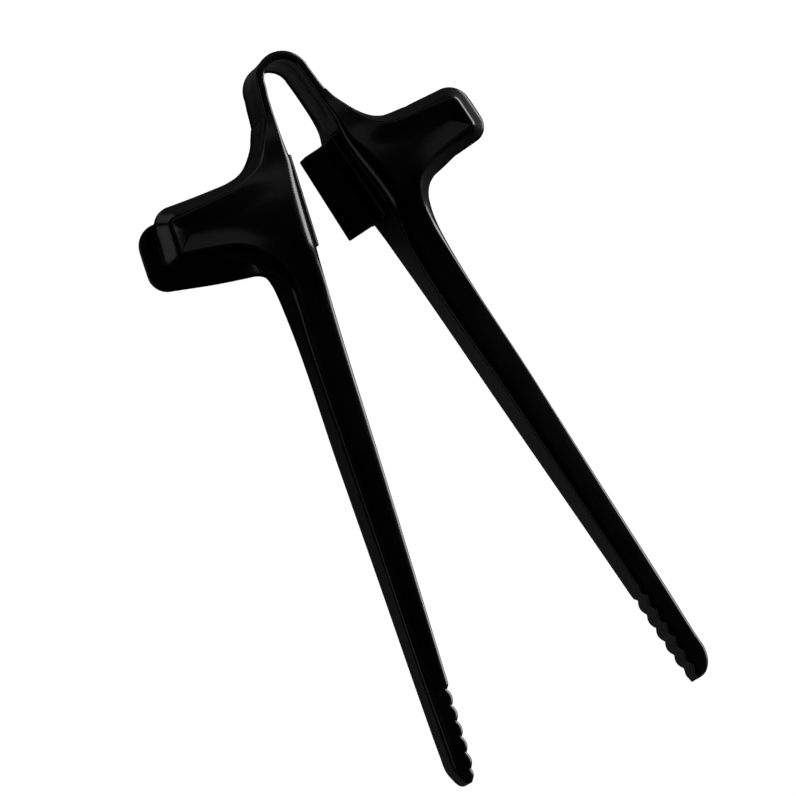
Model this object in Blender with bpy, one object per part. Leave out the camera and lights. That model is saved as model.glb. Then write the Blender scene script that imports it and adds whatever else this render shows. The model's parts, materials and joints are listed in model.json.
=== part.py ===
"""Finger-worn print tongs: a sprung U bow, two tapered arms with toothed jaws, and a finger clip
on the outer side of each arm.  A guide tongue on the right arm enters a slot on the left arm.

World frame: metres, +Z up.  The tongs lie on their rear plates with the bow towards +Y and the
jaws towards -Y.  Each arm is drawn in its own frame: the origin is the middle of the bow, which is
the axis that the arms turn about, "along" is the distance down the arm, "out" is the distance
outwards from the arm's straight inner face, and "up" is the height above the middle plane.
"""

import math

import bmesh
import bpy

MM = 0.001

# Driving dimensions, in millimetres and degrees.
HALF_ANGLE = 8.9            # each arm from the centre line, at rest
ARM_LENGTH = 112.5          # bow centre to jaw end
INNER_FACE = 2.65           # the arm's inner face from the bow centre
STRAP = 1.25                # thickness of the bow strap
BOW_RADIUS = 4.3            # outside radius of the bow
BOW_MIDDLE = (0.65, -0.1)   # middle of its half circle: a little to the right of the axis
BOW_HALF_DEPTH = 5.0
LEG_END = 5.0               # where the bow strap stops and the arm starts
LEG_INNER = {"left": -0.1, "right": 1.1}   # the legs' inner faces, outwards from the arms'
CLIP_HALF_DEPTH = 8.25      # middle plane to the outer face of a finger plate
FINGER_HALF_GAP = 5.5       # middle plane to the inner face of a finger plate
PLATE_INNER = 6.9           # where a finger plate starts, outwards from the inner face
# Each finger plate's reach outwards from the inner face, and its top and bottom along the arm.
PLATES = {
    ("left", "front"): (24.1, 15.0, 25.4),
    ("left", "rear"): (23.7, 15.1, 26.4),
    ("right", "front"): (20.4, 14.3, 24.8),
    ("right", "rear"): (20.2, 13.9, 24.6),
}
UPPER_CORNER = 3.6          # corner radii at a plate's outer end
LOWER_CORNER = 2.9
JAW_START = 96.5
JAW_HALF_DEPTH = 2.8
JAW_NOSE = 1.3              # the foremost point of the jaw's end, outwards from the inner face
TOOTH_PITCH = 2.5
TOOTH_COUNT = 5
FIRST_TOOTH = 98.4
TOOTH_CREST = -0.3          # the crests stand just inside the inner face
TOOTH_ROOT = 0.3
GUIDE_START = 11.6
GUIDE_END = 26.4
PAD_HEIGHT = 0.75           # how far the guide pads stand in from the inner face
PAD_HALF_DEPTH = 4.4
PAD_SEAT = 3.8              # depth of the pads' pockets in the arms
TONGUE_HALF_DEPTH = 1.9
TONGUE_TOP_REACH = 5.1
TONGUE_BOTTOM_REACH = 5.6
SLOT_CLEARANCE = 0.5
SLOT_DEPTH = 3.0
FIT = 0.3                   # clearance between pieces that sit in or against each other

SIDES = {"left": -1, "right": 1}
BLACK = (0.006, 0.006, 0.007, 1.0)

# The object's box is centred on X and Y, and its rear plates stand on Z = 0.
ANGLE = math.radians(HALF_ANGLE)


def widest(side):
    """Distance from the centre line of a clip's lower outer corner, on the wider of its plates."""
    found = []
    for (plate_side, _), (reach, _, bottom) in PLATES.items():
        along, out = bottom - LOWER_CORNER, INNER_FACE + reach - LOWER_CORNER
        if plate_side == side:
            found.append(along * math.sin(ANGLE) + out * math.cos(ANGLE) + LOWER_CORNER)
    return max(found)


JAW_DROP = ARM_LENGTH * math.cos(ANGLE) - (INNER_FACE + JAW_NOSE) * math.sin(ANGLE)
CENTRE = (
    (widest("left") - widest("right")) / 2 * MM,
    (JAW_DROP - BOW_RADIUS - BOW_MIDDLE[1]) / 2 * MM,
    CLIP_HALF_DEPTH * MM,
)

for old in list(bpy.data.objects):
    bpy.data.objects.remove(old)
tongs = bpy.data.collections.new("print_tongs")
cutters = bpy.data.collections.new("cutters")
bpy.context.scene.collection.children.link(tongs)
bpy.context.scene.collection.children.link(cutters)


def gloss_black(name, roughness):
    """Black moulded plastic for one piece."""
    material = bpy.data.materials.new(name + "_plastic")
    material.use_nodes = True
    shader = material.node_tree.nodes["Principled BSDF"]
    shader.inputs["Base Color"].default_value = BLACK
    shader.inputs["Roughness"].default_value = roughness
    shader.inputs["Metallic"].default_value = 0.0
    return material


def place(obj, side):
    """Stands a piece on the bow's axis, turned by its arm's angle (side 0 is the bow itself)."""
    obj.location = CENTRE
    obj.rotation_euler = (0.0, 0.0, side * ANGLE)


def finish(name, mesh, side, roughness=0.22):
    obj = bpy.data.objects.new(name, mesh)
    tongs.objects.link(obj)
    place(obj, side)
    mesh.materials.append(gloss_black(name, roughness))
    return obj


def cutter(name, mesh, side):
    obj = bpy.data.objects.new(name, mesh)
    cutters.objects.link(obj)
    place(obj, side)
    obj.hide_render = True
    obj.display_type = "WIRE"
    return obj


def arm_point(side, along, out, up=0.0):
    """A point of an arm's own frame, in metres about the bow's axis."""
    return (side * (INNER_FACE + out) * MM, -along * MM, up * MM)


def box_mesh(name, side, along, out, half_depth, bevel=0.0):
    """A block between two distances along the arm and two outwards, with rounded edges."""
    bm = bmesh.new()
    bmesh.ops.create_cube(bm, size=1.0)
    near = arm_point(side, along[1], out[0])
    far = arm_point(side, along[0], out[1])
    left_x, right_x = sorted((near[0], far[0]))
    for vert in bm.verts:
        vert.co.x = left_x if vert.co.x < 0 else right_x
        vert.co.y = near[1] if vert.co.y < 0 else far[1]
        vert.co.z = math.copysign(half_depth * MM, vert.co.z)
    bm.normal_update()
    if bevel:
        bmesh.ops.bevel(bm, geom=bm.edges, offset=bevel * MM, segments=2, affect="EDGES")
    bmesh.ops.recalc_face_normals(bm, faces=bm.faces)
    mesh = bpy.data.meshes.new(name)
    bm.to_mesh(mesh)
    bm.free()
    return mesh


def outline_mesh(name, points, low, high, bevel):
    """A flat outline of (x, y) points in metres, filled, given its thickness and rounded edges."""
    curve = bpy.data.curves.new(name, "CURVE")
    curve.dimensions = "2D"
    curve.fill_mode = "BOTH"
    curve.extrude = ((high - low) / 2 - bevel) * MM
    curve.bevel_depth = bevel * MM
    curve.bevel_resolution = 2
    curve.offset = -bevel * MM
    spline = curve.splines.new("POLY")
    spline.points.add(len(points) - 1)
    for point, (x, y) in zip(spline.points, points):
        point.co = (x, y, 0.0, 1.0)
    spline.use_cyclic_u = True
    flat = bpy.data.objects.new(name + "_outline", curve)
    bpy.context.scene.collection.objects.link(flat)
    bpy.context.view_layer.update()
    solid = flat.evaluated_get(bpy.context.evaluated_depsgraph_get())
    mesh = bpy.data.meshes.new_from_object(solid)
    mesh.name = name
    bpy.data.objects.remove(flat)
    bm = bmesh.new()
    bm.from_mesh(mesh)
    bmesh.ops.remove_doubles(bm, verts=bm.verts, dist=1e-6)
    bmesh.ops.translate(bm, verts=bm.verts, vec=(0.0, 0.0, (low + high) / 2 * MM))
    bm.normal_update()
    bmesh.ops.recalc_face_normals(bm, faces=bm.faces)
    bm.to_mesh(mesh)
    bm.free()
    mesh.materials.clear()
    return mesh


def arc(centre, radius, start, end, steps):
    """Points of an arc, with its angles in degrees."""
    angles = [math.radians(start + (end - start) * i / steps) for i in range(steps + 1)]
    return [(centre[0] + radius * math.cos(t), centre[1] + radius * math.sin(t)) for t in angles]


# The spring bow: a strap bent round a half circle, with two short legs in line with the arms.

def leg_end(side, out, along):
    """The strap's legs follow the arms, so their ends are worked out in the bow's own frame."""
    x = side * (along * math.sin(ANGLE) + (INNER_FACE + out) * math.cos(ANGLE))
    y = -along * math.cos(ANGLE) + (INNER_FACE + out) * math.sin(ANGLE)
    return (x, y)


outside = arc(BOW_MIDDLE, BOW_RADIUS, 0.0, 180.0, 20)
inside = arc(BOW_MIDDLE, BOW_RADIUS - STRAP, 180.0, 0.0, 16)
left_leg, right_leg = LEG_INNER["left"], LEG_INNER["right"]
bow_outline = (
    [leg_end(1, right_leg + STRAP, LEG_END)] + outside
    + [leg_end(-1, left_leg + STRAP, LEG_END), leg_end(-1, left_leg, LEG_END)]
    + inside + [leg_end(1, right_leg, LEG_END)]
)
bow_points = [(x * MM, y * MM) for x, y in bow_outline]
finish("spring_bow", outline_mesh("spring_bow", bow_points, -BOW_HALF_DEPTH, BOW_HALF_DEPTH, 0.2), 0)


# The arms: sections with cut corners, lofted from the strap through the clip's root to the jaw.
# Each row is: along, share of the leg's offset, inner face, outer edge, half depth, inner corner
# cut (out, up), outer corner cut (both).
ARM_SECTIONS = (
    (LEG_END + FIT, 1.0, 0.0, 1.3, 5.0, (0.2, 0.2), 0.2),
    (8.0, 0.95, 0.0, 2.6, 5.1, (0.4, 0.3), 0.4),
    (11.0, 0.5, 0.0, 4.5, 6.0, (1.5, 1.2), 0.6),
    (13.5, 0.0, 0.0, 6.4, 7.6, (2.6, 2.6), 0.4),
    (15.0, 0.0, 0.0, 6.6, 8.2, (2.8, 3.0), 0.2),
    (25.2, 0.0, 0.0, 6.6, 8.2, (2.8, 3.0), 0.2),
    (28.0, 0.0, -0.3, 6.1, 6.6, (2.7, 2.0), 0.8),
    (31.0, 0.0, -0.35, 5.5, 5.0, (1.7, 0.9), 1.0),
    (34.0, 0.0, -0.35, 5.4, 4.0, (1.1, 0.6), 1.0),
    (JAW_START, 0.0, -0.3, 3.45, JAW_HALF_DEPTH, (0.8, 0.4), 0.7),
)


def arm_mesh(name, side):
    bm = bmesh.new()
    rings = []
    leg = LEG_INNER["left" if side < 0 else "right"]
    for along, share, face, edge, half, (cut_out, cut_up), cut in ARM_SECTIONS:
        inner, outer = face + share * leg, edge + share * leg
        corners = [
            (inner + cut_out, half), (outer - cut, half), (outer, half - cut), (outer, cut - half),
            (outer - cut, -half), (inner + cut_out, -half), (inner, cut_up - half),
            (inner, half - cut_up),
        ]
        rings.append([bm.verts.new(arm_point(side, along, out, up)) for out, up in corners])
    for upper, lower in zip(rings, rings[1:]):
        for i in range(len(upper)):
            j = (i + 1) % len(upper)
            bm.faces.new((upper[i], upper[j], lower[j], lower[i]))
    bm.faces.new(rings[0])
    bm.faces.new(rings[-1])
    bm.normal_update()
    bmesh.ops.recalc_face_normals(bm, faces=bm.faces)
    mesh = bpy.data.meshes.new(name)
    bm.to_mesh(mesh)
    bm.free()
    return mesh


for side_name, side in SIDES.items():
    arm = finish(side_name + "_arm", arm_mesh(side_name + "_arm", side), side)
    seat_along = (GUIDE_START - FIT, GUIDE_END + FIT)
    seat_mesh = box_mesh("seat", side, seat_along, (-2.0, PAD_SEAT + FIT), PAD_HALF_DEPTH + FIT)
    cut = arm.modifiers.new("pad_seat", "BOOLEAN")
    cut.object = cutter(side_name + "_pad_seat_cutter", seat_mesh, side)
    cut.operation = "DIFFERENCE"


# The jaws: a flat outline with five rounded teeth on the inner side and a blunt, angled end.

def jaw_outline(side):
    teeth = []
    steps = 6
    for i in range(TOOTH_COUNT * steps + 1):
        along = FIRST_TOOTH - TOOTH_PITCH / 2 + TOOTH_PITCH * i / steps
        wave = abs(math.sin(math.pi * i / steps))
        teeth.append((along, TOOTH_ROOT + (TOOTH_CREST - TOOTH_ROOT) * wave))
    end = [
        (ARM_LENGTH - 1.6, 0.1), (ARM_LENGTH - 0.5, 0.5), (ARM_LENGTH, JAW_NOSE),
        (ARM_LENGTH - 0.3, 2.0),
        (ARM_LENGTH - 2.8, 2.9), (ARM_LENGTH - 4.0, 3.1), (JAW_START + FIT, 3.45),
    ]
    corners = [(JAW_START + FIT, -0.3)] + teeth + end
    return [arm_point(side, along, out)[:2] for along, out in corners]


for side_name, side in SIDES.items():
    mesh = outline_mesh(side_name + "_jaw", jaw_outline(side), -JAW_HALF_DEPTH, JAW_HALF_DEPTH, 0.15)
    finish(side_name + "_jaw", mesh, side)


# The finger plates.  The front ones flow into the arm above and below; the rear ones are plainer.

def rounded_end(side_name, layer):
    """The outer end of a plate, from its upper edge round to its lower edge: two corner arcs."""
    reach, top, bottom = PLATES[side_name, layer]
    upper_centre = (reach - UPPER_CORNER, -top - UPPER_CORNER)
    lower_centre = (reach - LOWER_CORNER, -bottom + LOWER_CORNER)
    upper = arc(upper_centre, UPPER_CORNER, 90.0, 0.0, 6)
    lower = arc(lower_centre, LOWER_CORNER, 0.0, -90.0, 6)
    return [(-y, x) for x, y in upper + lower]


def front_outline(side_name):
    _, top, bottom = PLATES[side_name, "front"]
    flare = [(top - 2.1, PLATE_INNER), (top - 1.4, 9.6), (top - 0.8, 13.0)]
    fillet = [(bottom + 0.1, 14.0), (bottom + 0.8, 10.6), (bottom + 2.4, PLATE_INNER)]
    return flare + rounded_end(side_name, "front") + fillet


def rear_outline(side_name):
    _, top, bottom = PLATES[side_name, "rear"]
    return [(top - 0.8, PLATE_INNER)] + rounded_end(side_name, "rear") + [(bottom + 0.8, PLATE_INNER)]


for side_name, side in SIDES.items():
    faces = (
        ("_front_finger_plate", front_outline, FINGER_HALF_GAP, CLIP_HALF_DEPTH),
        ("_rear_finger_plate", rear_outline, -CLIP_HALF_DEPTH, -FINGER_HALF_GAP),
    )
    for ending, outline, low, high in faces:
        name = side_name + ending
        points = [arm_point(side, along, out)[:2] for along, out in outline(side_name)]
        finish(name, outline_mesh(name, points, low, high, 0.5), side)


# The guide: the left pad holds a slot, open at both ends, and the right pad carries the tongue
# that enters it as the tongs close.

pad_along = (GUIDE_START, GUIDE_END)
left = SIDES["left"]
housing_mesh = box_mesh("slot", left, pad_along, (-PAD_HEIGHT, PAD_SEAT), PAD_HALF_DEPTH, 0.25)
housing = finish("left_slot_housing", housing_mesh, left)
slot_along = (GUIDE_START - 1.0, GUIDE_END + 1.0)
slot_out = (-PAD_HEIGHT - 1.0, SLOT_DEPTH)
slot_mesh = box_mesh("cut", left, slot_along, slot_out, TONGUE_HALF_DEPTH + SLOT_CLEARANCE)
slot_cut = housing.modifiers.new("slot", "BOOLEAN")
slot_cut.object = cutter("slot_cutter", slot_mesh, left)
slot_cut.operation = "DIFFERENCE"

right = SIDES["right"]
pad_mesh = box_mesh("pad", right, pad_along, (-PAD_HEIGHT, PAD_SEAT), PAD_HALF_DEPTH, 0.25)
finish("right_guide_pad", pad_mesh, right)
blade_start = GUIDE_START + 0.1
blade_end = GUIDE_END - 0.5
blade = [
    (blade_start, -PAD_HEIGHT - FIT), (blade_start, -TONGUE_TOP_REACH),
    (blade_end, -TONGUE_BOTTOM_REACH), (blade_end, -PAD_HEIGHT - FIT),
]
blade_points = [arm_point(right, along, out)[:2] for along, out in blade]
tongue_mesh = outline_mesh(
    "right_guide_tongue", blade_points, -TONGUE_HALF_DEPTH, TONGUE_HALF_DEPTH, 0.25
)
finish("right_guide_tongue", tongue_mesh, right)
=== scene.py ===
import json
import math

import bpy
import numpy as np
from mathutils import Matrix, Vector


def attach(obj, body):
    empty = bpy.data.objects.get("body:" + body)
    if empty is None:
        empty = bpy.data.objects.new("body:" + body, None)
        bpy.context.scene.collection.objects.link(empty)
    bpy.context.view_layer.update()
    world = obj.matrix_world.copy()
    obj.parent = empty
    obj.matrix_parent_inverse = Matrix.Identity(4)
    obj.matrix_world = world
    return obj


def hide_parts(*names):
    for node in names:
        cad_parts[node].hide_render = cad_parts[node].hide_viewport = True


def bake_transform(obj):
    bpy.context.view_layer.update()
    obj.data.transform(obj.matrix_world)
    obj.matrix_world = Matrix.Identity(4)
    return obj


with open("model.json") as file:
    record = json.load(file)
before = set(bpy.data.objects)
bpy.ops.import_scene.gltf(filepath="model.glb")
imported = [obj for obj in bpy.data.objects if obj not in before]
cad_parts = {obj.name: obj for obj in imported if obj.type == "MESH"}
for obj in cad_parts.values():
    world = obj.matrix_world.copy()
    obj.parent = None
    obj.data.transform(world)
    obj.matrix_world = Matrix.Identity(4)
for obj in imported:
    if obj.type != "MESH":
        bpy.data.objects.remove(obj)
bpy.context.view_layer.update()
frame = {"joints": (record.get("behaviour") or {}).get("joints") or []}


# ---------------------------------------------------------------------------------------------
# The two arms.  Each is one injection moulding in gloss black plastic: the foot of the spring
# bow, a finger clip of two dished plates with a saddle between them, a long tapered arm and a
# toothed jaw.

# Lengths are in millimetres, in the arm's own frame: "along" from the bow's axis down the arm,
# "out" from its straight inner face, "up" from its middle plane.
MM = 0.001
HALF_ANGLE = math.radians(8.9)
INNER_FACE = 2.65                 # the arms' inner faces from the bow's axis
LEG_END = 5.0                     # where the bow's strap becomes the arm
BOW_AXIS = np.array(frame["joints"][0]["pos_m"]) / MM
SIGN = {"left": -1.0, "right": 1.0}
SADDLE = 6.6                      # the wall between the two plates
SADDLE_EASE = 0.12                # rounds the saddle off where the arm gets narrower than it
RIM = 0.42                        # radius of the plates' lower edge
TOOTH_START, TOOTH_PITCH, TEETH = 97.15, 2.5, 5
TOOTH_DEPTH = 0.48
POCKET = (11.3, 26.7)             # seat of the guide pads in the inner face
POCKET_DEPTH = 4.0
WEB_HALF, WEB_DEPTH = 4.15, 0.12  # the recess of the strap's faces
BAND_HALF, BAND_RISE = 1.9, 0.05  # the raised band down the middle of that recess
RIDGE_SOFTNESS = 0.22             # 0 would leave the ridge of the plates sharp
END_BORDER = 0.5                  # extra width of the border towards a plate's end
DISH_RUN = 3.2                    # distance over which a dish falls from the ridge
COVE = 2.2                        # the largest curve between a plate and the saddle
BEAD_WEAR_AND_HIGHLIGHT, RIM_WEAR_AND_HIGHLIGHT = 0.35, 0.9   # how much lighter edge colour the raised line and the lower edge get: rubbed wear and a painted highlight

# Outlines as (along, out): down the root to the plate, the plate's own reach, top, upper corner
# radius, bottom and lower corner radius, and from the plate down to the plain arm.
ROOT = {
    ("left", "front"): [(5.0, 1.4), (6.4, 1.95), (7.6, 2.4), (9.0, 3.2), (10.4, 4.3), (11.6, 5.6),
                        (12.5, 7.2), (13.2, 8.9), (13.8, 10.8), (14.2, 13.4), (14.7, 17.5)],
    ("left", "rear"): [(5.0, 1.4), (6.4, 1.95), (7.6, 2.4), (8.8, 3.1), (9.9, 3.9), (10.9, 4.9),
                       (11.8, 6.6), (12.7, 8.9), (13.6, 11.8), (14.4, 15.5)],
    ("right", "front"): [(5.0, 2.6), (6.8, 3.1), (8.4, 3.75), (9.9, 4.4), (11.4, 5.25),
                         (12.7, 6.4), (13.6, 8.0), (14.05, 10.0), (14.3, 12.5), (14.6, 15.0)],
    ("right", "rear"): [(5.0, 2.6), (6.8, 3.1), (8.4, 3.8), (9.8, 4.8), (11.0, 6.4), (12.0, 8.8),
                        (12.9, 12.2), (13.5, 15.4)],
}
CORNERS = {("left", "front"): (24.1, 15.0, 3.6, 25.35, 2.85),
           ("left", "rear"): (23.7, 15.1, 3.6, 26.0, 3.0),
           ("right", "front"): (20.35, 14.85, 3.4, 24.7, 2.7),
           ("right", "rear"): (20.0, 14.1, 3.2, 24.2, 2.7)}
FOOT = {
    ("left", "front"): [(25.4, 17.3), (25.45, 15.0), (25.7, 12.8), (26.3, 11.2), (27.3, 9.8),
                        (28.4, 8.4), (29.5, 7.1), (30.7, 6.2), (32.2, 5.6)],
    ("left", "rear"): [(26.3, 18.0), (26.65, 14.8), (26.9, 11.6), (27.05, 8.9), (27.2, 7.1),
                       (27.8, 6.0), (29.2, 5.6), (31.0, 5.5)],
    ("right", "front"): [(24.75, 15.2), (24.8, 12.7), (25.0, 10.6), (25.5, 8.9), (26.3, 7.4),
                         (27.6, 6.4), (29.2, 5.9), (31.3, 5.6)],
    ("right", "rear"): [(24.6, 15.2), (25.0, 12.6), (25.6, 10.8), (26.5, 8.7), (27.7, 7.0),
                        (29.3, 6.2), (31.3, 5.75)],
}
ARM_EDGE = [(34.0, 5.4), (41.0, 5.17), (60.0, 4.58), (80.0, 3.94), (98.0, 3.42), (106.0, 3.12)]
JAW_END = {"left": [(108.8, 2.95), (110.2, 2.4), (111.1, 1.9), (111.55, 1.5), (111.7, 1.15)],
           "right": [(108.8, 3.1), (110.3, 2.65), (111.3, 1.95), (111.9, 1.2), (112.1, 0.6)]}
NOSE_INNER = {"left": 1.0, "right": 0.2}       # how far out the inner face ends at the nose
INNER_LINE = {"left": [(5.0, -0.1), (12.0, -0.1), (24.0, -0.1), (28.0, -0.15), (34.0, -0.38),
                       (60.0, -0.38), (112.1, -0.32)],
              "right": [(5.0, 1.1), (7.4, 1.08), (9.8, 0.85), (11.4, 0.35), (13.0, 0.0),
                        (24.0, 0.0), (28.0, -0.05), (34.0, -0.35), (60.0, -0.4), (97.0, -0.55),
                        (112.1, -0.7)]}

# Each profile is a smooth line through (along, value).
RIDGE_HEIGHT = [(5.0, 5.0), (7.0, 5.15), (9.0, 5.6), (11.0, 6.3), (13.0, 7.1), (15.0, 7.8),
                (17.5, 8.25), (23.0, 8.25), (26.0, 7.8), (29.0, 6.2), (32.0, 4.8), (36.0, 4.0),
                (60.0, 3.5), (96.5, 2.9), (108.0, 2.8), (112.5, 2.4)]
INNER_HEIGHT = [(5.0, 4.6), (8.0, 4.9), (10.5, 5.3), (13.0, 6.1), (16.0, 6.2), (24.0, 5.7),
                (30.0, 4.6), (36.0, 3.35), (60.0, 2.95), (96.5, 2.4), (108.0, 2.3),
                (112.5, 1.8)]
INNER_ROUND = [(5.0, 0.42), (8.0, 0.5), (12.0, 1.0), (16.0, 2.0), (24.0, 2.6), (30.0, 2.0),
               (36.0, 1.5), (60.0, 1.3), (96.5, 1.0), (112.5, 0.8)]
BORDER_WIDTH = [(5.0, 0.2), (9.0, 0.45), (12.0, 1.1), (15.0, 1.6), (17.0, 1.9), (24.0, 2.1),
                (27.0, 1.9), (31.0, 1.2), (36.0, 0.9), (96.5, 0.7), (112.5, 0.6)]
RIM_HEIGHT = [(5.0, 4.55), (9.0, 4.3), (12.0, 4.9), (14.0, 5.5), (25.5, 5.5), (28.0, 4.9),
              (31.0, 3.6), (35.0, 2.6), (60.0, 2.2), (96.5, 1.7), (112.5, 1.1)]
GAP_HEIGHT = [(5.0, 2.6), (9.0, 2.6), (12.0, 3.6), (14.5, 5.2), (16.0, 5.5), (24.5, 5.5),
              (27.0, 4.2), (30.0, 2.6), (36.0, 1.4), (60.0, 1.2), (112.5, 0.7)]
BORDER_FLAT = [(5.0, 0.0), (10.0, 0.2), (14.0, 1.0), (26.0, 1.0), (30.0, 0.5), (36.0, 0.0)]
DISH_DEPTH = [(5.0, 0.0), (12.0, 0.1), (16.0, 0.5), (24.0, 0.5), (30.0, 0.2), (36.0, 0.04),
              (112.5, 0.0)]


def cubic(x, v, at):
    """The smooth curve through the points (x, v), read at each place: between two points it is
    the cubic whose end slopes are those of the parabolas through three points in a row."""
    slope = np.gradient(v, x, axis=0)
    i = np.clip(np.searchsorted(x, at, side="right") - 1, 0, len(x) - 2)
    h = (x[i + 1] - x[i]).reshape(i.shape + (1,) * (v.ndim - 1))
    t = np.clip((at - x[i]).reshape(h.shape) / h, 0, 1)
    return ((1 + 2 * t) * (1 - t)**2 * v[i] + t * (1 - t)**2 * h * slope[i]
            + t**2 * (3 - 2 * t) * v[i + 1] - t**2 * (1 - t) * h * slope[i + 1])


def smooth_line(points, per_span=16):
    """A line through all the points, as a cubic in the running total of the root distances."""
    p = np.asarray(points, float)
    x = np.concatenate([[0.0], np.cumsum(np.linalg.norm(np.diff(p[:, :2], axis=0), axis=1)**0.5)])
    places = np.interp(np.arange((len(p) - 1) * per_span + 1) / per_span, np.arange(len(p)), x)
    return cubic(x, p, places)


def level(points, along):
    """The value at each distance along, read off the smooth curve through the points."""
    x, v = np.asarray(points, float).T
    return cubic(x, v, along)


def step(x, low, high):
    """Rises from 0 at low to 1 at high, level at both ends."""
    t = np.clip((x - low) / (high - low), 0, 1)
    return t * t * (3 - 2 * t)


def clip_outline(side, layer):
    """The outer edge of an arm and one of its plates as (along, out): a smooth line down the
    root, two quarter circles round the plate's end, and a smooth line down to the jaw."""
    reach, top, big, bottom, small = CORNERS[side, layer]
    turn = np.radians(np.linspace(90, 0, 13))
    upper = np.stack([top + big - big * np.sin(turn), reach - big + big * np.cos(turn)], 1)
    lower = np.stack([bottom - small + small * np.cos(turn),
                      reach - small + small * np.sin(turn)], 1)
    lead = smooth_line(ROOT[side, layer] + [tuple(upper[0])])
    tail = smooth_line([tuple(lower[-1])] + FOOT[side, layer] + ARM_EDGE + JAW_END[side])
    line = np.vstack([lead[:-1], upper, lower, tail[1:]])
    line[:, 0] = np.maximum.accumulate(line[:, 0])
    return line


def distance_to(line, along, out):
    """Shortest distance from each (along, out) to a chain of straight pieces."""
    a, b = line[:-1], line[1:]
    d = b - a
    length2 = np.maximum((d**2).sum(1), 1e-12)
    p = np.stack([along.ravel(), out.ravel()], 1)
    t = np.clip(((p[:, None] - a) * d).sum(2) / length2, 0, 1)
    near = p[:, None] - a - t[..., None] * d
    return np.sqrt((near**2).sum(2).min(1)).reshape(along.shape)


def strap_relief(up):
    """How far a strap face lies below its two edge rims at a height: one smooth step down inside
    the rims, less a lower one up again to the middle band."""
    return (WEB_DEPTH * step(WEB_HALF - np.abs(up), 0, 0.2)
            - BAND_RISE * step(BAND_HALF - np.abs(up), 0, 0.25))


def quad_faces(rows, columns):
    """The four corners of every cell of a rows by columns grid, closed round the columns."""
    index = np.arange(rows * columns).reshape(rows, columns)
    across = np.roll(index, -1, axis=1)
    cells = np.stack([index[:-1], across[:-1], across[1:], index[1:]], -1)
    return cells.reshape(-1, 4)


def surface(name, points, wear_and_highlight, flip=False):
    """A mesh object from a grid of points in millimetres: rows of closed rings, with the first and
    last ring filled and their edges sharp.  The third argument says how much lighter edge colour
    each point gets, as rubbed wear and a painted highlight."""
    rows, columns = points.shape[:2]
    ring = list(range(columns))
    faces = quad_faces(rows, columns).tolist()
    faces += [ring[::-1], [(rows - 1) * columns + i for i in ring]]
    if flip:
        faces = [face[::-1] for face in faces]
    mesh = bpy.data.meshes.new(name)
    mesh.from_pydata((points.reshape(-1, 3) * MM).tolist(), [], faces)
    mesh.update()
    layer = mesh.attributes.new("wear_and_highlight", "FLOAT", "POINT")
    layer.data.foreach_set("value", np.asarray(wear_and_highlight, np.float32).ravel())
    mesh.shade_smooth()
    ends = np.empty(len(mesh.edges) * 2, np.int32)
    mesh.edges.foreach_get("vertices", ends)
    row = ends.reshape(-1, 2) // columns
    rims = (row[:, 0] == row[:, 1]) & ((row[:, 0] == 0) | (row[:, 0] == rows - 1))
    sharp = mesh.attributes.new("sharp_edge", "BOOLEAN", "EDGE")
    sharp.data.foreach_set("value", rims)
    obj = bpy.data.objects.new(name, mesh)
    bpy.context.scene.collection.objects.link(obj)
    return obj


def stand(side, along, out, up):
    """Arm frame to row frame: turned by the half angle about the bow's axis."""
    x = along * math.sin(HALF_ANGLE) + (INNER_FACE + out) * math.cos(HALF_ANGLE)
    y = -along * math.cos(HALF_ANGLE) + (INNER_FACE + out) * math.sin(HALF_ANGLE)
    return np.stack([SIGN[side] * x, y, np.broadcast_to(up, x.shape)], -1) + BOW_AXIS


def arm_stations(front, rear):
    """Distances along at which the arm has a section.  need is the number of sections to a
    millimetre: 0.8 on the plain arm, about 5 in the clip and the jaw, and more where an outline
    runs straight outwards.  Its running total is then divided evenly."""
    fine = np.linspace(LEG_END, front[-1, 0], 40001)
    need = 0.8 + 4.0 * step(fine, 10.5, 12) * step(-fine, -34, -31)
    need = need + 0.9 * step(fine, 5, 6) * step(-fine, -36, -34)
    need = need + 4.6 * step(fine, 96.2, 97) + 5.0 * step(fine, 110.5, 111.5)
    for line in (front, rear):
        need = need + np.abs(np.gradient(np.interp(fine, line[:, 0], line[:, 1]), fine)) / 0.8
    total = np.cumsum(need) * (fine[1] - fine[0])
    rows = np.interp(np.linspace(total[0], total[-1], int(total[-1])), total, fine)
    edges = [POCKET[0] - 0.01, POCKET[0] + 0.01, POCKET[1] - 0.01, POCKET[1] + 0.01]
    return np.unique(np.concatenate([rows, edges]))


# Where a section has its points, as shares of the inner wall, the face, the plate's underside,
# the cove (as a turn) and the saddle.
WALL_SHARES = np.array([0, 0.2, 0.34, 0.42, 0.6, 0.8, 0.835, 0.86, 0.88, 0.905, 0.95])
FACE_SHARES = 0.5 * np.linspace(0, 1, 91) + 0.25 * (1 - np.cos(np.pi * np.linspace(0, 1, 91)))
UNDER_SHARES = np.linspace(0, 1, 15)[1:]
FILLET_TURN = np.radians(np.linspace(0, 90, 6))[1:]
MIDDLE_SHARES = np.linspace(1, 0, 5)[1:]


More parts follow.
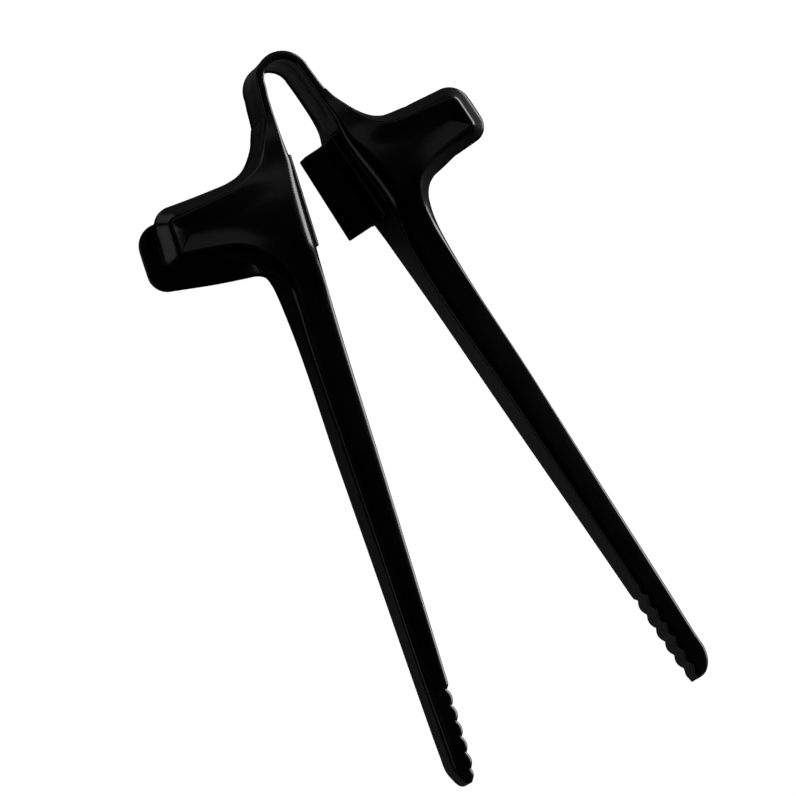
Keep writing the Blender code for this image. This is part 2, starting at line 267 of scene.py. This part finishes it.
def half_section(side, along, line, saddle):
    """Half of every section, from the middle of the inner face round to the middle of the
    saddle.  The face's height is the ridge height, less a quarter ellipse at the inner edge,
    less the dish and the sloping border, which go by distance from the outline."""
    a = along[:, None]
    outer = np.interp(a, line[:, 0], line[:, 1])
    tooth = np.abs(np.sin(np.pi * (a - TOOTH_START) / TOOTH_PITCH)) ** 0.8
    in_teeth = (a > TOOTH_START) & (a < TOOTH_START + TEETH * TOOTH_PITCH)
    inner = np.where(in_teeth, TOOTH_DEPTH * (1 - tooth),
                     TOOTH_DEPTH * step(a, TOOTH_START - 0.75, TOOTH_START))
    inner = inner * step(-a, -111, -109.4) + NOSE_INNER[side] * step(a, 109.9, 112.3)
    inner = inner + level(INNER_LINE[side], a)
    ridge, low = level(RIDGE_HEIGHT, a), level(INNER_HEIGHT, a)
    rim = level(RIM_HEIGHT, a)

    wall_up = low * WALL_SHARES
    leg = strap_relief(wall_up) * 1.5 * step(-a, -10.5, -7.5)
    pocket = (a > POCKET[0]) & (a < POCKET[1]) & (WALL_SHARES < 0.89)
    wall_out = np.where(pocket, POCKET_DEPTH, inner + leg)

    out = inner + (outer - inner) * FACE_SHARES
    gap = distance_to(line, np.broadcast_to(a, out.shape), out)
    border = level(BORDER_WIDTH, a) + END_BORDER * step(out, 9.0, 22.0) * step(a, 14, 18)
    t = np.clip(1 - gap / border, 0, 1)
    flat = level(BORDER_FLAT, a)
    soft = RIDGE_SOFTNESS
    sloped = (np.sqrt(t**2 + soft**2) - soft) / (math.sqrt(1 + soft**2) - soft)
    quarter = 1 - np.sqrt(1 - t**2)
    fall = (ridge - rim - RIM) * (flat * sloped + (1 - flat) * quarter)
    shelf = np.clip((gap - border) / DISH_RUN, 0, 1)
    dish = level(DISH_DEPTH, a) * (1 - (1 - shelf) ** 2)
    s = np.clip((out - inner) / level(INNER_ROUND, a), 0, 1)
    shoulder = (ridge - low) * (1 - np.sqrt(1 - (1 - s) ** 2))
    face_up = ridge - fall - dish - shoulder
    # The raised line at the ridge is marked for the lighter edge colour: rubbed wear and a painted
    # highlight.
    bead = np.exp(-((gap - border * 0.95) / 0.35) ** 2)

    room = np.clip(outer - saddle, 0, None)
    edge = np.minimum(RIM, room / 2)
    turn = np.radians([30, 60, 90])
    rim_out = outer - edge * (1 - np.cos(turn))
    rim_up = rim + RIM * (1 - np.sin(turn))
    cove = np.minimum(COVE, 0.6 * room)
    inner_gap = level(GAP_HEIGHT, a)
    drop = 0.35 * inner_gap
    under_out = (outer - edge) * (1 - UNDER_SHARES) + (saddle + cove) * UNDER_SHARES
    under_up = rim * (1 - UNDER_SHARES) + inner_gap * UNDER_SHARES
    cove_out = saddle + cove * (1 - np.sin(FILLET_TURN))
    cove_up = inner_gap - drop * (1 - np.cos(FILLET_TURN))
    middle_up = (inner_gap - drop) * MIDDLE_SHARES
    middle_out = np.broadcast_to(saddle, middle_up.shape)

    side_out = np.hstack([rim_out, under_out, cove_out, middle_out])
    side_up = np.hstack([rim_up, under_up, cove_up, middle_up])
    side_out = side_out - strap_relief(side_up) * step(-a, -13.5, -10.5)
    outs = np.hstack([wall_out, out, side_out])
    ups = np.hstack([wall_up, face_up, side_up])
    # The plate's lower edge is marked for the lighter edge colour: rubbed wear and a painted
    # highlight line.
    rims = np.zeros_like(side_out)
    rims[:, :3] = 1.0
    wear_and_highlight = np.hstack([np.zeros_like(wall_up), BEAD_WEAR_AND_HIGHLIGHT * bead, RIM_WEAR_AND_HIGHLIGHT * rims])
    return outs, ups, wear_and_highlight


def arm(side):
    """One arm's mesh: each ring is a front half section and a rear one turned over.  The saddle
    is its own width, or the narrower outline's where that is less, with a soft change between."""
    front, rear = clip_outline(side, "front"), clip_outline(side, "rear")
    along = arm_stations(front, rear)
    narrow = np.minimum(np.interp(along, front[:, 0], front[:, 1]),
                        np.interp(along, rear[:, 0], rear[:, 1]))
    saddle = (SADDLE - SADDLE_EASE * np.logaddexp(0, (SADDLE - narrow) / SADDLE_EASE))[:, None]
    saddle = np.minimum(saddle, narrow[:, None])
    f_out, f_up, f_worn = half_section(side, along, front, saddle)
    r_out, r_up, r_worn = half_section(side, along, rear, saddle)
    outs = np.hstack([f_out, r_out[:, -2:0:-1]])
    ups = np.hstack([f_up, -r_up[:, -2:0:-1]])
    wear_and_highlight = np.hstack([f_worn, r_worn[:, -2:0:-1]])
    alongs = np.broadcast_to(along[:, None], outs.shape)
    points = stand(side, alongs, outs, ups)
    return surface(side + "_arm_moulding", points, wear_and_highlight, flip=side == "right")


def value_node(tree, kind, **sockets):
    """A new node with its plain inputs set by name."""
    node = tree.nodes.new(kind)
    for name, value in sockets.items():
        node.inputs[name].default_value = value
    return node


def plastic_skin():
    """The surface of a black moulding, as a node group: a fine spark-eroded grain from the mould,
    slow flow marks, hair scratches that run down the piece, and edges rubbed smooth.  Along the
    masked edges the colour is also mixed towards a lighter colour, which is partly rubbed wear and
    partly a painted highlight; scratches are lighter too."""
    group = bpy.data.node_groups.new("moulded_skin", "ShaderNodeTree")
    face = group.interface
    # The edge mask and the lighter edge colour are for rubbed wear and a painted highlight.
    ports = [("Vector", "NodeSocketVector", None), ("HighlightAndWear", "NodeSocketFloat", 0.0),
             ("Roughness", "NodeSocketFloat", 0.3), ("Spread", "NodeSocketFloat", 0.06),
             ("Scratches", "NodeSocketFloat", 0.5), ("Dark", "NodeSocketColor", (0, 0, 0, 1)),
             ("HighlightAndWearColour", "NodeSocketColor", (0, 0, 0, 1))]
    for name, kind, default in ports:
        socket = face.new_socket(name, in_out="INPUT", socket_type=kind)
        if default is not None:
            socket.default_value = default
    for name, kind in (("Color", "NodeSocketColor"), ("Roughness", "NodeSocketFloat"),
                       ("Height", "NodeSocketFloat")):
        face.new_socket(name, in_out="OUTPUT", socket_type=kind)
    nodes, links = group.nodes, group.links
    given, made = nodes.new("NodeGroupInput"), nodes.new("NodeGroupOutput")

    def math_node(operation, first, second, clamp=False):
        """The operation done on two terms, each a number or another node's output."""
        node = nodes.new("ShaderNodeMath")
        node.operation = operation
        node.use_clamp = clamp
        for socket, value in zip(node.inputs, (first, second)):
            if isinstance(value, (int, float)):
                socket.default_value = value
            else:
                links.new(value, socket)
        return node.outputs[0]

    def noise(scale, detail, stretch=None, roughness=0.5):
        """A noise pattern.  With a stretch it is drawn out along one axis and leans a little."""
        node = value_node(group, "ShaderNodeTexNoise", Scale=scale, Detail=detail,
                          Roughness=roughness)
        source = given.outputs["Vector"]
        if stretch:
            mapping = nodes.new("ShaderNodeMapping")
            mapping.inputs["Scale"].default_value = stretch
            mapping.inputs["Rotation"].default_value = (0.0, 0.0, 0.35)
            links.new(source, mapping.inputs["Vector"])
            source = mapping.outputs[0]
        links.new(source, node.inputs["Vector"])
        return node.outputs["Fac"]

    grain = noise(5200.0, 3.0)
    flow = noise(95.0, 3.0, roughness=0.6)
    hairs = noise(1.0, 2.0, stretch=(5200.0, 110.0, 5200.0))
    hair_mask = math_node("MULTIPLY", math_node("SUBTRACT", hairs, 0.66), 9.0, clamp=True)
    patch = math_node("MULTIPLY", math_node("SUBTRACT", noise(210.0, 2.0), 0.45), 4.0, clamp=True)
    scratch = math_node("MULTIPLY", math_node("MULTIPLY", hair_mask, patch),
                        given.outputs["Scratches"])
    # How far the colour moves towards the lighter edge colour: rubbed wear and a painted highlight
    # along the masked ridges, rims and ends.
    rubbed_and_highlight = math_node("MULTIPLY", given.outputs["HighlightAndWear"], math_node(
        "ADD", math_node("MULTIPLY", flow, 0.8), 0.25), clamp=True)

    # The dark base lightened by the edge mask, which is rubbed wear and a painted highlight, and
    # by the scratches.
    tone = nodes.new("ShaderNodeMix")
    tone.data_type = "RGBA"
    links.new(math_node("MAXIMUM", math_node("MULTIPLY", rubbed_and_highlight, 0.6),
                        math_node("MULTIPLY", scratch, 0.5)), tone.inputs[0])
    links.new(given.outputs["Dark"], tone.inputs[6])
    links.new(given.outputs["HighlightAndWearColour"], tone.inputs[7])
    links.new(tone.outputs[2], made.inputs["Color"])

    wander = math_node("MULTIPLY", math_node("SUBTRACT", flow, 0.5), given.outputs["Spread"])
    rough = math_node("ADD", given.outputs["Roughness"], math_node("MULTIPLY", wander, 2.0))
    rough = math_node("ADD", rough, math_node("MULTIPLY", math_node("SUBTRACT", grain, 0.5), 0.10))
    rough = math_node("ADD", rough, math_node("MULTIPLY", scratch, 0.14))
    rough = math_node("SUBTRACT", rough, math_node("MULTIPLY", rubbed_and_highlight, 0.05), clamp=True)
    links.new(rough, made.inputs["Roughness"])

    height = math_node("ADD", math_node("MULTIPLY", grain, 0.35), flow)
    height = math_node("SUBTRACT", height, math_node("MULTIPLY", scratch, 0.5))
    links.new(height, made.inputs["Height"])
    return group


SKIN = plastic_skin()


def moulded_plastic(name, dark, rubbed_and_highlight, roughness, spread, scratches, bump):
    """A black plastic: the skin group feeds colour, roughness and a very shallow bump."""
    material = bpy.data.materials.new(name)
    material.use_nodes = True
    tree = material.node_tree
    shader = tree.nodes["Principled BSDF"]
    shader.inputs["Metallic"].default_value = 0.0
    shader.inputs["IOR"].default_value = 1.49
    place = tree.nodes.new("ShaderNodeTexCoord")
    skin = tree.nodes.new("ShaderNodeGroup")
    skin.node_tree = SKIN
    skin.inputs["Dark"].default_value = dark
    skin.inputs["HighlightAndWearColour"].default_value = rubbed_and_highlight
    skin.inputs["Roughness"].default_value = roughness
    skin.inputs["Spread"].default_value = spread
    skin.inputs["Scratches"].default_value = scratches
    # Reads the per-point mask for the lighter edge colour: rubbed wear and a painted highlight.
    wear_and_highlight = tree.nodes.new("ShaderNodeAttribute")
    wear_and_highlight.attribute_name = "wear_and_highlight"
    relief = value_node(tree, "ShaderNodeBump", Strength=bump, Distance=0.00002)
    tree.links.new(place.outputs["Object"], skin.inputs["Vector"])
    tree.links.new(wear_and_highlight.outputs["Fac"], skin.inputs["HighlightAndWear"])
    tree.links.new(skin.outputs["Color"], shader.inputs["Base Color"])
    tree.links.new(skin.outputs["Roughness"], shader.inputs["Roughness"])
    tree.links.new(skin.outputs["Height"], relief.inputs["Height"])
    tree.links.new(relief.outputs["Normal"], shader.inputs["Normal"])
    return material


# Dark base colour, then the lighter edge colour for rubbed wear and a painted highlight,
# roughness, spread, scratches and bump.
gloss_black = moulded_plastic("gloss_black_moulding", (0.0008, 0.0008, 0.0009, 1),
                              (0.032, 0.032, 0.033, 1), 0.21, 0.05, 0.5, 0.2)

for side in ("left", "right"):
    moulding = arm(side)
    moulding.data.materials.append(gloss_black)
    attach(moulding, side + "_half")
    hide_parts(side + "_arm", side + "_jaw", side + "_front_finger_plate",
                side + "_rear_finger_plate")


# ---------------------------------------------------------------------------------------------
# The spring bow.  The same moulding carries on as a flat strap bent round a half circle; its
# springiness holds the arms open.  Both faces are recessed between two edge rims.

BOW_MIDDLE = (0.66, -0.16)        # the half circle stands a little to the right of the axis
BOW_RADIUS = 3.74                 # to the middle of the strap
BOW_HALF_DEPTH = 5.0
STRAP = 1.32                      # thickness
STRAP_CORNER = 0.42
LEG_ALONG = np.array([LEG_END, 4.2, 3.3, 2.3]) # the legs get thicker towards the arms
LEG_THICK = np.array([1.5, 1.42, 1.36, 1.32])
LEG_INNER = {"left": -0.1, "right": 1.1}


def ring_section(half_thick, half_deep, corner):
    """A rounded rectangle as (offset, up) pairs, from the middle of the outer face round over
    the front edge, with points bunched at the corners and at the recess's steps."""
    shares = np.array([0, 0.2, 0.36, 0.385, 0.41, 0.44, 0.6, 0.75, 0.8, 0.82, 0.84, 0.87, 0.93])
    flat = shares * half_deep
    turn = np.radians(np.linspace(0, 90, 6))
    corner_out = half_thick - corner * (1 - np.cos(turn))
    corner_up = half_deep - corner * (1 - np.sin(turn))
    top_out = np.concatenate([np.full(len(flat), half_thick), corner_out, [0.0]])
    top_up = np.concatenate([flat, corner_up, [half_deep]])
    outs = np.concatenate([top_out, -top_out[-2::-1]])
    ups = np.concatenate([top_up, top_up[-2::-1]])
    return np.concatenate([outs, outs[-2:0:-1]]), np.concatenate([ups, -ups[-2:0:-1]])


def bow():
    """The strap's section carried along its middle line: down-arm legs joined by a half circle.
    Each ring stands square to the line, and its faces are lowered by the strap's relief."""
    legs = {side: (stand(side, LEG_ALONG, LEG_INNER[side] + LEG_THICK / 2, 0.0)
                   - BOW_AXIS)[:, :2] for side in SIGN}
    turn = np.radians(np.linspace(176, 4, 19))
    arc = BOW_RADIUS * np.stack([np.cos(turn), np.sin(turn)], 1) + BOW_MIDDLE
    line = np.vstack([legs["left"], arc, legs["right"][::-1]])
    thick = np.concatenate([LEG_THICK, np.full(len(arc), STRAP), LEG_THICK[::-1]])
    line = smooth_line(np.column_stack([line, thick]), 6)
    line, thick = line[:, :2], line[:, 2:]
    ahead = np.gradient(line, axis=0)
    ahead[0] = legs["left"][1] - legs["left"][0]
    ahead[-1] = legs["right"][0] - legs["right"][1]
    ahead /= np.linalg.norm(ahead, axis=1)[:, None]
    normal = np.stack([-ahead[:, 1], ahead[:, 0]], 1)
    outs, ups = ring_section(STRAP / 2, BOW_HALF_DEPTH, STRAP_CORNER)
    faces = np.where(outs > 0, 1.0, -1.5) * (np.abs(outs) > STRAP / 2 - 0.01)
    outs = outs * thick / STRAP - faces * strap_relief(ups)
    flat = line[:, None] + normal[:, None] * outs[..., None]
    points = np.concatenate([flat, np.broadcast_to(ups[None, :, None], flat[..., :1].shape)], 2)
    # The strap's front and rear edges are marked for the lighter edge colour: rubbed wear and a
    # painted highlight.
    wear_and_highlight = np.broadcast_to(np.exp(-((np.abs(ups) - 4.7) / 0.3) ** 2), points.shape[:2])
    return surface("spring_bow_strap", points + BOW_AXIS, wear_and_highlight)


strap = bow()
strap.data.materials.append(gloss_black)
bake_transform(strap)
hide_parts("spring_bow")


# ---------------------------------------------------------------------------------------------
# The guide.  A raised pad on each arm's inner face, of the same black plastic; the left one is
# slotted from end to end and the right one carries a flat tongue that enters the slot, so that
# the jaws close in line.

GUIDE = (11.6, 26.4)              # where the pads start and end down the arm
PAD_PROUD = 1.0
PAD_SEAT = 3.8
PAD_HALF_DEPTH = 4.4
TONGUE_HALF_DEPTH = 1.9
TONGUE_ROOT, TONGUE_REACH = 0.4, 5.55
TONGUE_LEAN = 0.095               # how much further it reaches at its jaw end, as a share
SLOT_HALF_DEPTH = 2.4
SLOT_FLOOR = 3.0
CLOSING_RING = 0.12               # width of the flat ring just inside a rounded end
END_HIGHLIGHT = 0.3                    # how much lighter edge colour the rounded ends get: a painted highlight


def rounded_loop(corners, radius, steps=6):
    """A closed outline with rounded corners: each corner is a quadratic curve between points one
    radius back along its two sides, with its handle just inside the corner."""
    c = np.asarray(corners, float)
    r = np.broadcast_to(radius, len(c)).astype(float)[:, None]
    before, after = np.roll(c, 1, axis=0) - c, np.roll(c, -1, axis=0) - c
    start = c + r * before / np.linalg.norm(before, axis=1)[:, None]
    end = c + r * after / np.linalg.norm(after, axis=1)[:, None]
    t = np.linspace(0, 1, steps)[:, None, None]
    curve = (1 - t) ** 2 * start + 2 * t * (1 - t) * (c * 0.9 + 0.05 * (start + end)) + t**2 * end
    return curve.transpose(1, 0, 2).reshape(-1, 2)


def carried(name, side, loop, start, end, edge, lean=0.0):
    """A closed section in (out, up) carried down the arm from start to end.  It is drawn in by
    a quarter circle at both ends, which are closed flat, and its outward distances grow evenly
    by the share lean."""
    ahead = np.roll(loop, -1, axis=0) - np.roll(loop, 1, axis=0)
    ahead = ahead / np.maximum(np.linalg.norm(ahead, axis=1), 1e-9)[:, None]
    inward = np.stack([-ahead[:, 1], ahead[:, 0]], 1)
    x, y = loop.T
    inward = inward * np.sign((x * np.roll(y, -1) - y * np.roll(x, -1)).sum())
    turn = np.radians(np.linspace(90, 0, 7))
    draw = np.concatenate([[edge + CLOSING_RING], edge * (1 - np.cos(turn))])
    run = np.concatenate([[0.0], edge * (1 - np.sin(turn))])
    middle_run = np.linspace(edge, end - start - edge, 40)[1:-1]
    runs = np.concatenate([run, middle_run, (end - start) - run[::-1]])
    draws = np.concatenate([draw, np.zeros(len(middle_run)), draw[::-1]])
    flat = loop + inward * draws[:, None, None]
    outs = flat[..., 0] * (1 + lean * (runs / (end - start)))[:, None]
    alongs = np.broadcast_to((start + runs)[:, None], outs.shape)
    points = stand(side, alongs, outs, flat[..., 1])
    # The rounded ends are marked for the lighter edge colour: a painted highlight.
    wear_and_highlight = np.broadcast_to((draws > 0)[:, None] * END_HIGHLIGHT, outs.shape)
    block = surface(name, points, wear_and_highlight)
    face_out(block)
    return block


def face_out(obj):
    """Turns every face round if the closed mesh holds a negative volume."""
    mesh = obj.data
    mesh.calc_loop_triangles()
    points = np.empty(len(mesh.vertices) * 3, np.float32)
    mesh.vertices.foreach_get("co", points)
    corners = np.empty(len(mesh.loop_triangles) * 3, np.int32)
    mesh.loop_triangles.foreach_get("vertices", corners)
    triangles = points.reshape(-1, 3)[corners.reshape(-1, 3)]
    if np.linalg.det(triangles - triangles.mean((0, 1))).sum() < 0:
        mesh.flip_normals()


# Dark base colour, then the lighter edge colour for the painted highlight on the rounded ends,
# roughness, spread, scratches and bump.
guide_black = moulded_plastic("guide_plastic", (0.0008, 0.0008, 0.0009, 1),
                              (0.02, 0.02, 0.0205, 1), 0.27, 0.08, 1.0, 0.3)

pad_loop = rounded_loop([(PAD_SEAT, -PAD_HALF_DEPTH), (-PAD_PROUD, -PAD_HALF_DEPTH),
                         (-PAD_PROUD, PAD_HALF_DEPTH), (PAD_SEAT, PAD_HALF_DEPTH)],
                        [0.3, 0.5, 0.5, 0.3])
right_pad = carried("right_pad", "right", pad_loop, GUIDE[0], GUIDE[1], 0.3)
right_pad.data.materials.append(gloss_black)
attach(right_pad, "right_half")
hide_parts("right_guide_pad")

slot_loop = rounded_loop([(PAD_SEAT, -PAD_HALF_DEPTH), (-PAD_PROUD, -PAD_HALF_DEPTH),
                          (-PAD_PROUD, -SLOT_HALF_DEPTH), (SLOT_FLOOR, -SLOT_HALF_DEPTH),
                          (SLOT_FLOOR, SLOT_HALF_DEPTH), (-PAD_PROUD, SLOT_HALF_DEPTH),
                          (-PAD_PROUD, PAD_HALF_DEPTH), (PAD_SEAT, PAD_HALF_DEPTH)],
                         [0.15, 0.5, 0.3, 0.3, 0.3, 0.3, 0.5, 0.15])
left_pad = carried("left_slotted_pad", "left", slot_loop, GUIDE[0], GUIDE[1], 0.25)
left_pad.data.materials.append(guide_black)
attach(left_pad, "left_half")
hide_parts("left_slot_housing")

tongue_loop = rounded_loop([(TONGUE_ROOT, -TONGUE_HALF_DEPTH),
                            (-TONGUE_REACH, -TONGUE_HALF_DEPTH),
                            (-TONGUE_REACH, TONGUE_HALF_DEPTH),
                            (TONGUE_ROOT, TONGUE_HALF_DEPTH)], [0.2, 0.4, 0.4, 0.2])
tongue = carried("right_tongue", "right", tongue_loop, GUIDE[0] + 0.35, GUIDE[1], 0.25,
                 TONGUE_LEAN)
tongue.data.materials.append(guide_black)
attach(tongue, "right_half")
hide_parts("right_guide_tongue")


# ---------------------------------------------------------------------------------------------
# The bench.  A plain white sheet under the tongs and soft boxes round it: a bright one low on
# the right, and dim ones on the left, beyond the bow and high up.  The sheet and the sky are white
# to the eye but send little light back into the black plastic.

FLOOR_HALF = 3.0

floor_mesh = bpy.data.meshes.new("bench")
floor_mesh.from_pydata([(-FLOOR_HALF, -FLOOR_HALF, 0), (FLOOR_HALF, -FLOOR_HALF, 0),
                        (FLOOR_HALF, FLOOR_HALF, 0), (-FLOOR_HALF, FLOOR_HALF, 0)], [],
                       [(0, 1, 2, 3)])
floor = bpy.data.objects.new("bench", floor_mesh)
bpy.context.scene.collection.objects.link(floor)
white = bpy.data.materials.new("white_bench")
white.use_nodes = True
white_shader = white.node_tree.nodes["Principled BSDF"]
white_shader.inputs["Base Color"].default_value = (0.1, 0.1, 0.1, 1)
white_shader.inputs["Roughness"].default_value = 0.9
white_shader.inputs["Emission Color"].default_value = (1, 1, 1, 1)
seen_by = white.node_tree.nodes.new("ShaderNodeLightPath")
white.node_tree.links.new(seen_by.outputs["Is Camera Ray"],
                          white_shader.inputs["Emission Strength"])
floor_mesh.materials.append(white)

world = bpy.data.worlds.new("studio")
bpy.context.scene.world = world
world.use_nodes = True
sky = world.node_tree
sky_shader = sky.nodes["Background"]
rays = sky.nodes.new("ShaderNodeLightPath")
seen = sky.nodes.new("ShaderNodeMix")
seen.data_type = "RGBA"
seen.inputs[6].default_value = (0.0, 0.0, 0.0, 1)
seen.inputs[7].default_value = (1, 1, 1, 1)
sky.links.new(rays.outputs["Is Camera Ray"], seen.inputs[0])
sky.links.new(seen.outputs[2], sky_shader.inputs["Color"])

tongs_middle = np.array([0.0, 0.0, 0.008])


def soft_box(name, azimuth, elevation, distance, width, height, power):
    """An area light at a bearing and height about the tongs, facing them.  Azimuth 0 is the
    jaw side and 90 the right."""
    turn, lift = math.radians(azimuth), math.radians(elevation)
    towards = np.array([math.sin(turn) * math.cos(lift), -math.cos(turn) * math.cos(lift),
                        math.sin(lift)])
    light = bpy.data.lights.new(name, "AREA")
    light.shape = "RECTANGLE"
    light.size, light.size_y = width, height
    light.energy = power
    box = bpy.data.objects.new(name, light)
    box.location = tongs_middle + towards * distance
    box.rotation_euler = (math.radians(90) - lift, 0.0, turn)
    bpy.context.scene.collection.objects.link(box)
    return box


soft_box("right_box", 100, 14, 0.9, 1.0, 0.5, 13.0)
soft_box("left_box", 258, 18, 0.9, 1.0, 0.35, 0.55)
soft_box("far_box", 190, 10, 0.9, 0.8, 0.3, 0.35)
soft_box("high_box", 148, 56, 0.9, 0.5, 0.3, 0.09)
bpy.context.scene.view_settings.view_transform = "Standard"


# ---------------------------------------------------------------------------------------------
# The camera: a long lens, 1.12 m off, turned about the view line, tipped, and swung to the left.

PITCH, SWING, ROLL = -0.201, 0.243, 0.465
CAMERA_OFFSET = np.array([19.283, -47.997, 1124.4]) * MM

turn_in = (Matrix.Rotation(PITCH, 3, "X") @ Matrix.Rotation(SWING, 3, "Y")
           @ Matrix.Rotation(ROLL, 3, "Z"))
view_turn = turn_in.transposed()
lens = bpy.data.cameras.new("camera")
lens.sensor_width = 36.0
lens.lens = 330.3
lens.clip_end = 20.0
camera = bpy.data.objects.new("camera", lens)
camera.matrix_world = Matrix.Translation(Vector(BOW_AXIS * MM)
                                         + view_turn @ Vector(CAMERA_OFFSET)) @ view_turn.to_4x4()
bpy.context.scene.collection.objects.link(camera)
bpy.context.scene.camera = camera

bpy.context.view_layer.update()
